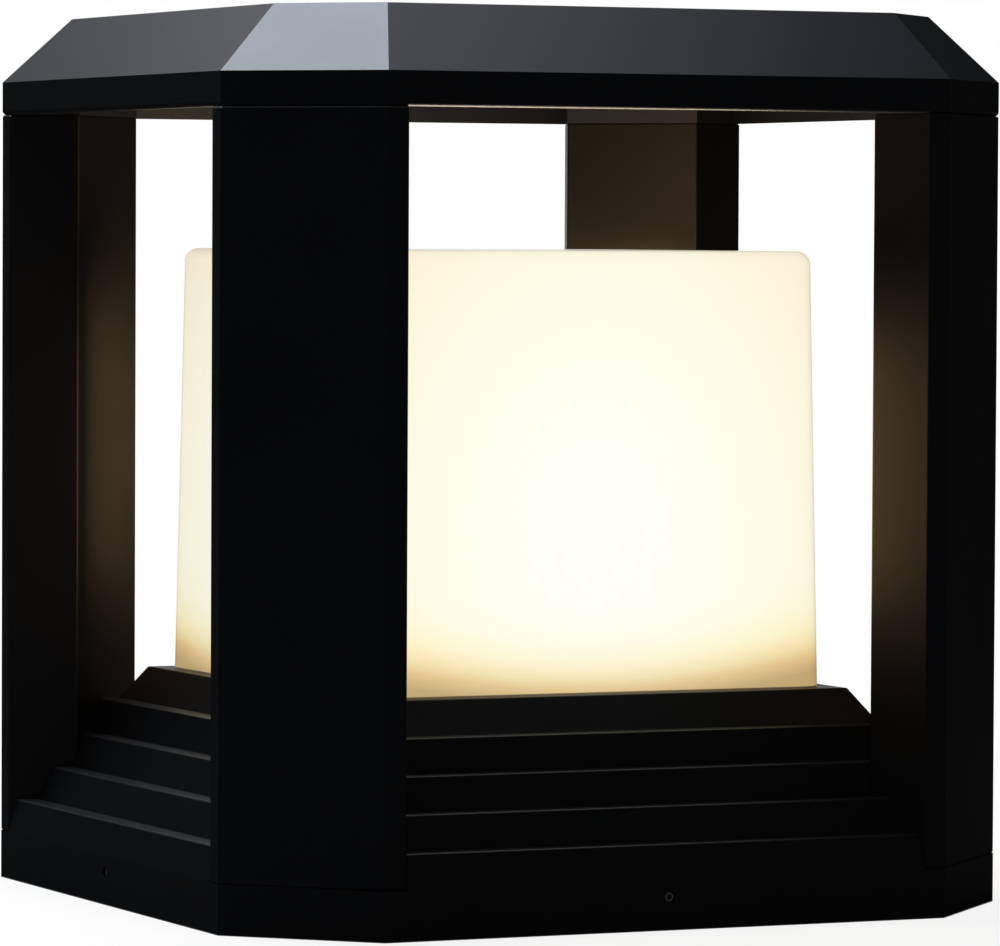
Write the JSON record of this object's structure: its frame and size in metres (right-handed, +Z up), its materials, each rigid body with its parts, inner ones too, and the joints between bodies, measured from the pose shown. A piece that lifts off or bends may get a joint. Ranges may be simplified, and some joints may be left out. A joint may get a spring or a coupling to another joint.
{
  "type": "outdoor post light",
  "caption": "Square outdoor post light: a stepped base, corner posts and a bevelled roof round a lit opal diffuser, lifting off a mounting plate with lampholder and bulb.",
  "frame": {"origin": "middle of the underside, on top of the pillar", "axes": "+Z up, -Y towards the front, +X to the right as seen from the front"},
  "size_m": [0.3, 0.3, 0.317],
  "materials": {
    "black_coat": "semi-gloss black powder coat on aluminium",
    "opal": "opal diffuser, lit warm white",
    "silicone": "grey silicone",
    "zinc_steel": "zinc plated",
    "galvanised": "galvanised sheet",
    "rubber": "moulded",
    "porcelain": "white glaze",
    "brass": "bright",
    "block_plastic": "moulded",
    "brown_pvc": "insulation",
    "blue_pvc": "insulation",
    "green_pvc": "insulation",
    "bulb_opal": "opal, lit",
    "white_plastic": "moulded",
    "white_board": "white solder mask",
    "nickel": "nickel plated",
    "black_glass": "glossy",
    "black_steel": "black oxide"
  },
  "bodies": {
    "mount": {"mounting_plate": "galvanised", "cable_bush": "rubber", "lamp_bracket": "galvanised", "bracket_screws": "zinc_steel", "lampholder_body": "porcelain", "lampholder_shell": "brass", "lampholder_contact": "brass", "lampholder_screws": "zinc_steel", "terminal_block": "block_plastic", "terminal_screws": "zinc_steel", "terminal_block_screws": "zinc_steel", "earth_tag": "brass", "earth_screw": "zinc_steel", "live_lead": "brown_pvc", "neutral_lead": "blue_pvc", "earth_lead": "green_pvc"},
    "bulb_tip": {"bulb_contact": "nickel"},
    "bulb": {"bulb_globe": "bulb_opal", "bulb_housing": "white_plastic", "bulb_led_board": "white_board", "bulb_cap": "nickel", "bulb_insulator": "black_glass"},
    "lantern": {"stepped_base": "black_coat", "roof_cap": "black_coat", "diffuser": "opal", "diffuser_gasket": "silicone", "diffuser_screws": "zinc_steel", "tie_rods": "zinc_steel", "tie_rod_washers": "zinc_steel", "tie_rod_nuts": "zinc_steel", "post_front_left": "black_coat", "post_front_right": "black_coat", "post_back_left": "black_coat", "post_back_right": "black_coat"},
    "front_set_screw": {"set_screw_front": "black_steel"},
    "right_set_screw": {"set_screw_right": "black_steel"},
    "back_set_screw": {"set_screw_back": "black_steel"},
    "left_set_screw": {"set_screw_left": "black_steel"}
  },
  "joints": [
    {"name": "lantern_lift", "type": "slide", "parent": "mount", "child": "lantern", "axis": [0, 0, 1], "range_m": [0, 0.18]},
    {"name": "bulb_rise", "type": "slide", "parent": "mount", "child": "bulb_tip", "axis": [0, 0, 1], "range_m": [0, 0.018]},
    {"name": "bulb_turn", "type": "hinge", "parent": "bulb_tip", "child": "bulb", "pos_m": [0, 0, 0.07], "axis": [0, 0, 1], "range_deg": [0, 1800]},
    {"name": "front_screw_out", "type": "slide", "parent": "lantern", "child": "front_set_screw", "axis": [0, -1, 0], "range_m": [0, 0.006]},
    {"name": "right_screw_out", "type": "slide", "parent": "lantern", "child": "right_set_screw", "axis": [1, 0, 0], "range_m": [0, 0.006]},
    {"name": "back_screw_out", "type": "slide", "parent": "lantern", "child": "back_set_screw", "axis": [0, 1, 0], "range_m": [0, 0.006]},
    {"name": "left_screw_out", "type": "slide", "parent": "lantern", "child": "left_set_screw", "axis": [-1, 0, 0], "range_m": [0, 0.006]}
  ],
  "couplings": [
    {"joint": "bulb_turn", "follows": "bulb_rise", "rad_per_m": 1731.6}
  ]
}
